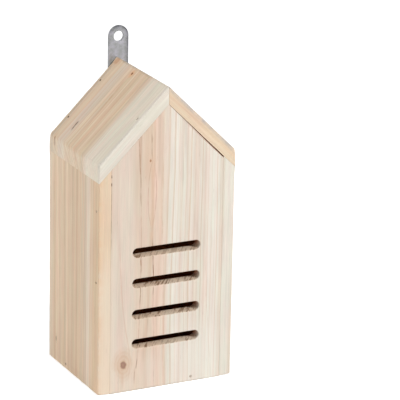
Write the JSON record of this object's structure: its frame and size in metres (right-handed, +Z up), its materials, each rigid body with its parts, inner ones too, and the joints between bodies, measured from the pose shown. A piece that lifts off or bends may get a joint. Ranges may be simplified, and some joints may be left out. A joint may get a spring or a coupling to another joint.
{
  "type": "insect hotel",
  "caption": "Small pine house with a steep mitred roof, round-ended slots across its front and a round-topped steel hanger plate on its back.",
  "frame": {"origin": "middle of the footprint of the boards, on the plane that the house stands on", "axes": "+Z up; -Y is the slotted front; +X is the right-hand side seen from the front; the hanger plate is on the +Y back"},
  "size_m": [0.1, 0.0835, 0.2325],
  "materials": {
    "front_pine": "bare planed pine, upright grain, pale cream with reddish lines",
    "back_pine": "bare planed pine, upright grain",
    "wall_pine": "bare planed pine, upright grain, tan stripes",
    "floor_pine": "bare planed pine, grain across the house",
    "roof_pine": "bare planed pine, grain from ridge to eave",
    "zinc_steel": "zinc-plated strip steel, dull satin",
    "screw_steel": "zinc-plated steel, satin",
    "brad_steel": "bare steel wire, darkened"
  },
  "bodies": {
    "root": {"front_panel": "front_pine", "back_panel": "back_pine", "left_wall": "wall_pine", "right_wall": "wall_pine", "floor_board": "floor_pine", "left_roof_board": "roof_pine", "right_roof_board": "roof_pine", "hanger_plate": "zinc_steel", "hanger_screw_upper": "screw_steel", "hanger_screw_lower": "screw_steel", "brad_left_wall_upper": "brad_steel", "brad_left_wall_lower": "brad_steel", "brad_left_wall_floor": "brad_steel", "brad_right_wall_upper": "brad_steel", "brad_right_wall_lower": "brad_steel", "brad_right_wall_floor": "brad_steel", "brad_left_roof_back_upper": "brad_steel", "brad_left_roof_back_lower": "brad_steel", "brad_left_roof_front": "brad_steel", "brad_right_roof_back_upper": "brad_steel", "brad_right_roof_back_lower": "brad_steel", "brad_right_roof_front": "brad_steel", "brad_front_floor": "brad_steel", "brad_back_floor": "brad_steel"}
  },
  "joints": []
}
